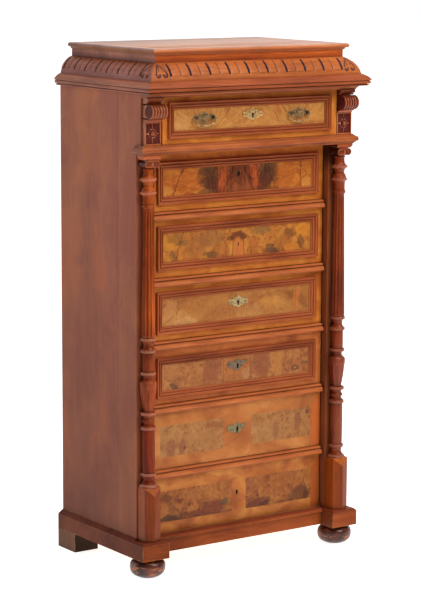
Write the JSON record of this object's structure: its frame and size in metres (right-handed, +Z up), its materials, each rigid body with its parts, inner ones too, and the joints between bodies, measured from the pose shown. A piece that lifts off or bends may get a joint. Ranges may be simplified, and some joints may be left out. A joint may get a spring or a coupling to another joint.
{
  "type": "semainier",
  "caption": "Tall narrow chest of stacked drawers with turned side columns, corbels, a gadrooned cornice, burr panels, bail handles and bun feet.",
  "frame": {"origin": "centre of the outline on the floor", "axes": "+Z up, +X to the right as seen from the front, +Y to the back; the drawers open towards -Y"},
  "size_m": [0.774, 0.503, 1.5],
  "materials": {
    "side_wood": "matt, aged, vertical grain",
    "top_wood": "satin, aged",
    "mahogany": "polished, red-brown",
    "walnut": "polished, orange-brown",
    "burr_walnut": "polished burr veneer",
    "inner_wood": "bare oak and pine",
    "brass": "aged, greenish",
    "lock_iron": "dull iron"
  },
  "bodies": {
    "carcass": {"back_panel": "inner_wood", "bottom_board": "inner_wood", "top_panel": "inner_wood", "drawer_rails": "mahogany", "drawer_runners": "inner_wood", "cornice_moulding": "mahogany", "gadroon_moulding": "mahogany", "frieze": "mahogany", "top_board": "top_wood", "bed_moulding": "mahogany", "ledge_moulding": "mahogany", "plinth_frame": "mahogany", "front_stiles": "mahogany", "bun_feet": "mahogany", "rear_feet": "side_wood", "side_panel_left": "side_wood", "side_panel_right": "side_wood", "pedestal_left": "mahogany", "pedestal_right": "mahogany", "column_left": "mahogany", "column_right": "mahogany", "capitals": "mahogany", "corbels": "mahogany"},
    "drawer_1": {"drawer_1_front": "walnut", "drawer_1_box": "inner_wood", "drawer_1_lock": "lock_iron", "drawer_1_moulding": "mahogany", "drawer_1_escutcheon": "brass", "handle_plate_left": "brass", "handle_plate_right": "brass"},
    "drawer_2": {"drawer_2_front": "walnut", "drawer_2_box": "inner_wood", "drawer_2_lock": "lock_iron", "drawer_2_moulding": "mahogany"},
    "drawer_3": {"drawer_3_front": "walnut", "drawer_3_box": "inner_wood", "drawer_3_lock": "lock_iron", "drawer_3_moulding": "mahogany"},
    "drawer_4": {"drawer_4_front": "walnut", "drawer_4_box": "inner_wood", "drawer_4_lock": "lock_iron", "drawer_4_moulding": "mahogany", "drawer_4_escutcheon": "brass"},
    "drawer_5": {"drawer_5_front": "walnut", "drawer_5_box": "inner_wood", "drawer_5_lock": "lock_iron", "drawer_5_moulding": "mahogany", "drawer_5_escutcheon": "brass"},
    "drawer_6": {"drawer_6_front": "walnut", "drawer_6_box": "inner_wood", "drawer_6_lock": "lock_iron", "drawer_6_escutcheon": "brass"},
    "drawer_7": {"drawer_7_front": "walnut", "drawer_7_box": "inner_wood", "drawer_7_lock": "lock_iron"},
    "bail_left": {"bail_left": "brass"},
    "bail_right": {"bail_right": "brass"}
  },
  "joints": [
    {"name": "drawer_1_slide", "type": "slide", "parent": "carcass", "child": "drawer_1", "axis": [0, -1, 0], "range_m": [0, 0.3]},
    {"name": "drawer_2_slide", "type": "slide", "parent": "carcass", "child": "drawer_2", "axis": [0, -1, 0], "range_m": [0, 0.3]},
    {"name": "drawer_3_slide", "type": "slide", "parent": "carcass", "child": "drawer_3", "axis": [0, -1, 0], "range_m": [0, 0.3]},
    {"name": "drawer_4_slide", "type": "slide", "parent": "carcass", "child": "drawer_4", "axis": [0, -1, 0], "range_m": [0, 0.3]},
    {"name": "drawer_5_slide", "type": "slide", "parent": "carcass", "child": "drawer_5", "axis": [0, -1, 0], "range_m": [0, 0.3]},
    {"name": "drawer_6_slide", "type": "slide", "parent": "carcass", "child": "drawer_6", "axis": [0, -1, 0], "range_m": [0, 0.3]},
    {"name": "drawer_7_slide", "type": "slide", "parent": "carcass", "child": "drawer_7", "axis": [0, -1, 0], "range_m": [0, 0.3]},
    {"name": "bail_left_pivot", "type": "hinge", "parent": "drawer_1", "child": "bail_left", "pos_m": [-0.165, -0.2005, 1.305], "axis": [-1, 0, 0], "range_deg": [0, 90]},
    {"name": "bail_right_pivot", "type": "hinge", "parent": "drawer_1", "child": "bail_right", "pos_m": [0.165, -0.2005, 1.305], "axis": [-1, 0, 0], "range_deg": [0, 90]}
  ]
}
